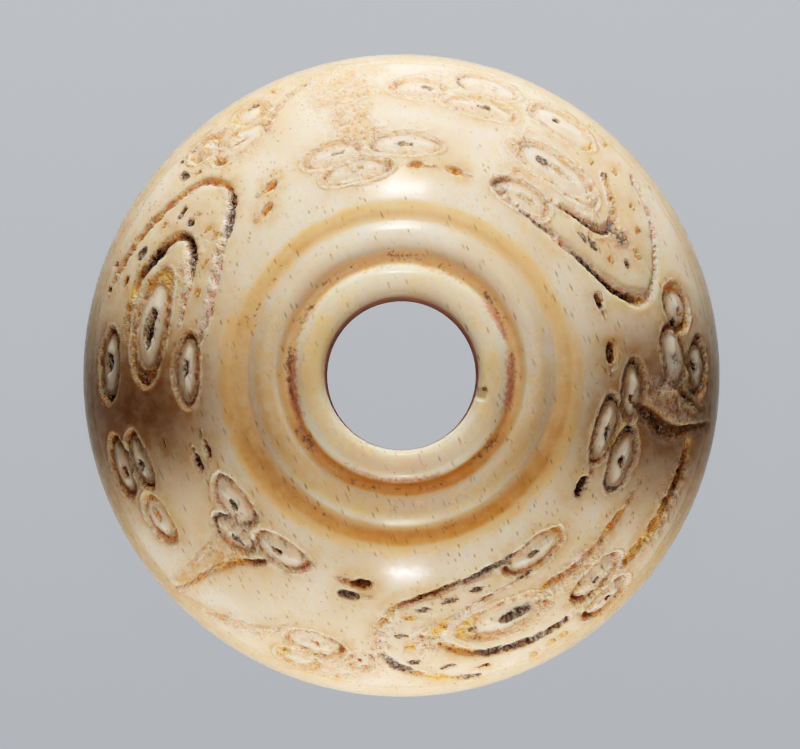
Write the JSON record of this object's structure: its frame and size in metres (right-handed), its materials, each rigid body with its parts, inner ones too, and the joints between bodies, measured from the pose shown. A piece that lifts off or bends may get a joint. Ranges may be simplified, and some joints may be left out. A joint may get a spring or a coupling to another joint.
{
  "type": "bone spindle whorl",
  "caption": "Domed bone spindle whorl with a collared spindle hole, turned grooves and a carved band of leaf medallions and trefoils; flat underside.",
  "frame": {"origin": "centre of the flat underside, on the axis of the spindle hole", "axes": "+Z along the spindle hole, up towards the collar; X and Y are level"},
  "size_m": [0.0282, 0.0284, 0.0092],
  "materials": {
    "bone": "satin, hand-polished bone with brown stains in the cuts"
  },
  "bodies": {
    "root": {"whorl": "bone"}
  },
  "joints": []
}
